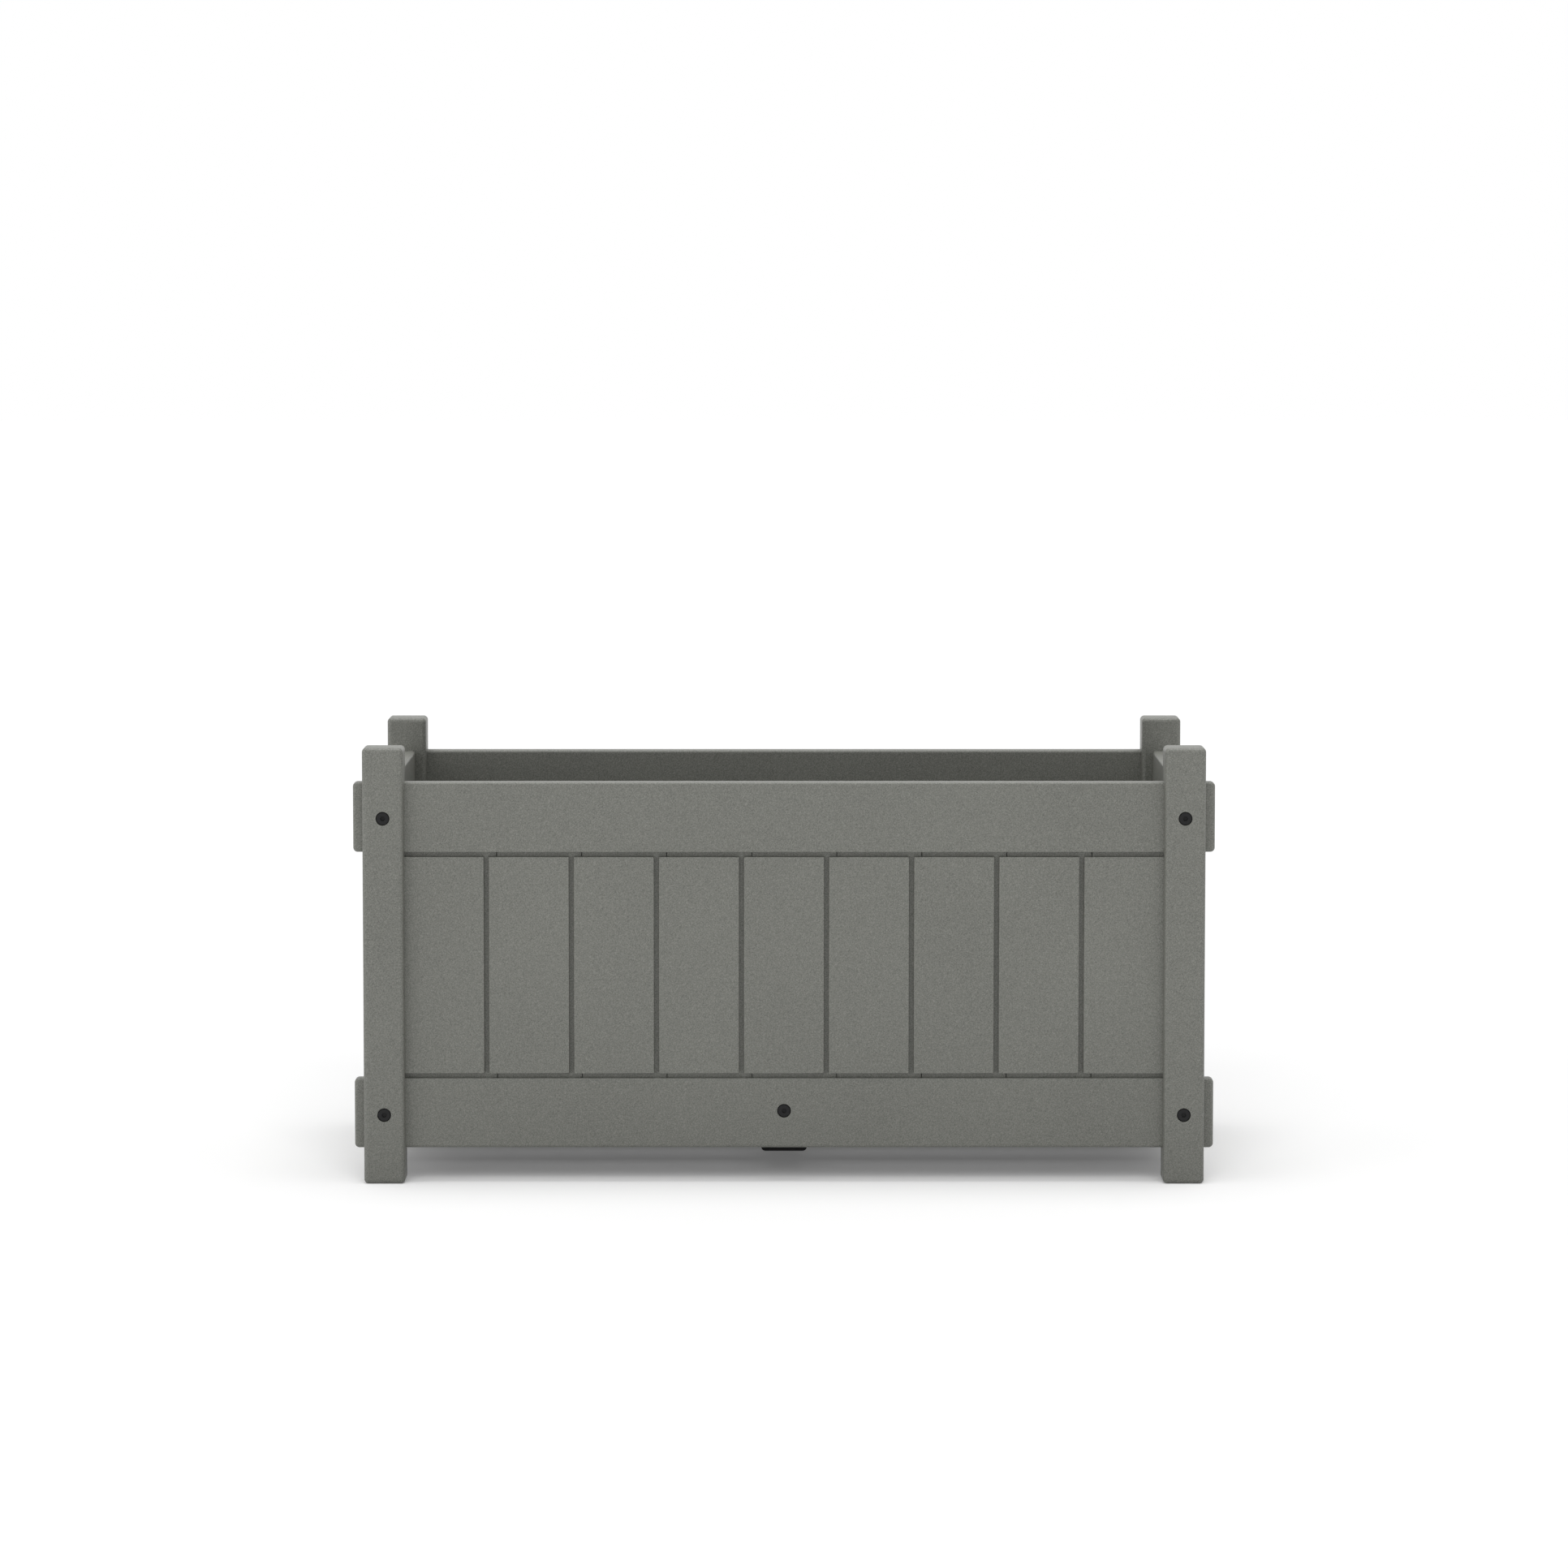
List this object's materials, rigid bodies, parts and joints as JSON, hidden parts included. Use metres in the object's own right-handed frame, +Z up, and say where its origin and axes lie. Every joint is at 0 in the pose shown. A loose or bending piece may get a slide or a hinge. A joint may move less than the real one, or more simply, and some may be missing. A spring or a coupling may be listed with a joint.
{
  "type": "planter box",
  "caption": "Long free-standing planter box: four square posts, framed panels of upright tongue-and-groove planks with through tenons, and a slatted floor.",
  "frame": {"origin": "on the ground, under the middle of the box", "axes": "+X along the box to the viewer's right, -Y is the front that the picture shows, +Z up"},
  "size_m": [0.9358, 0.47, 0.4762],
  "materials": {
    "grey_board": "stone-grey plastic lumber with a fine grained, slightly mottled matte surface",
    "black_board": "black plastic lumber, matte, fine grained",
    "black_bolt": "black coated steel, satin",
    "steel": "plain stainless steel"
  },
  "bodies": {
    "root": {"front_left_post": "grey_board", "front_right_post": "grey_board", "back_left_post": "grey_board", "back_right_post": "grey_board", "front_top_rail": "grey_board", "front_bottom_rail": "grey_board", "front_plank_1": "grey_board", "front_plank_2": "grey_board", "front_plank_3": "grey_board", "front_plank_4": "grey_board", "front_plank_5": "grey_board", "front_plank_6": "grey_board", "front_plank_7": "grey_board", "front_plank_8": "grey_board", "front_plank_9": "grey_board", "back_top_rail": "grey_board", "back_bottom_rail": "grey_board", "back_plank_1": "grey_board", "back_plank_2": "grey_board", "back_plank_3": "grey_board", "back_plank_4": "grey_board", "back_plank_5": "grey_board", "back_plank_6": "grey_board", "back_plank_7": "grey_board", "back_plank_8": "grey_board", "back_plank_9": "grey_board", "left_top_rail": "grey_board", "left_bottom_rail": "grey_board", "left_plank_1": "grey_board", "left_plank_2": "grey_board", "left_plank_3": "grey_board", "left_plank_4": "grey_board", "right_top_rail": "grey_board", "right_bottom_rail": "grey_board", "right_plank_1": "grey_board", "right_plank_2": "grey_board", "right_plank_3": "grey_board", "right_plank_4": "grey_board", "floor_crossbar": "black_board", "floor_slat_1": "black_board", "floor_slat_2": "black_board", "floor_slat_3": "black_board", "floor_slat_4": "black_board", "floor_cleat_left": "black_board", "floor_cleat_right": "black_board", "post_bolts": "black_bolt", "crossbar_bolts": "black_bolt", "rail_barrel_nuts": "steel", "crossbar_barrel_nuts": "steel", "floor_screws": "steel", "cleat_screws": "steel"}
  },
  "joints": []
}
